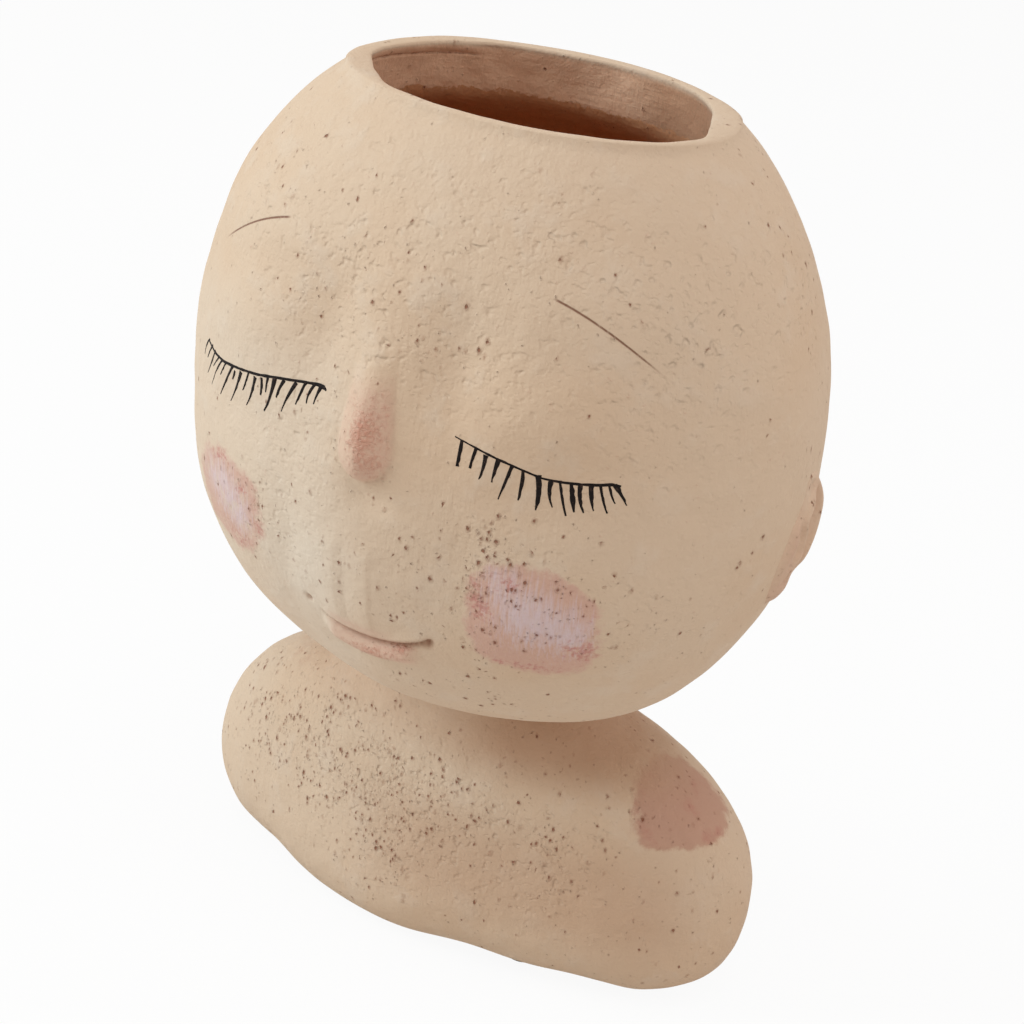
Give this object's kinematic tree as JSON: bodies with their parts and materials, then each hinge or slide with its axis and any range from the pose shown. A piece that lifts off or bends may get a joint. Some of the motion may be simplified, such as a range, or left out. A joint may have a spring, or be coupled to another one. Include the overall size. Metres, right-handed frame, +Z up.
{
  "type": "head planter",
  "caption": "Doll-head planter with an open crown on a hollow bust, applied ears, and a drain with mesh and pull-out plug.",
  "frame": {"origin": "on the floor under the middle of the planter's box", "axes": "+Z up, the face looks towards -Y, +X is the head's own left side"},
  "size_m": [0.1452, 0.122, 0.2033],
  "materials": {
    "painted_clay": "matte pale coat, hand brushed",
    "plug_rubber": "matte black",
    "mesh_plastic": "matte black",
    "foot_rubber": "matte dark grey"
  },
  "bodies": {
    "planter": {"head_shell": "painted_clay", "bust_shell": "painted_clay", "ear_left": "painted_clay", "ear_right": "painted_clay", "drain_mesh": "mesh_plastic", "foot_front_left": "foot_rubber", "foot_front_right": "foot_rubber", "foot_rear_left": "foot_rubber", "foot_rear_right": "foot_rubber"},
    "plug": {"drain_plug": "plug_rubber"}
  },
  "joints": [
    {"name": "plug_slide", "type": "slide", "parent": "planter", "child": "plug", "axis": [0, 0, -1], "range_m": [0, 0.03]}
  ]
}
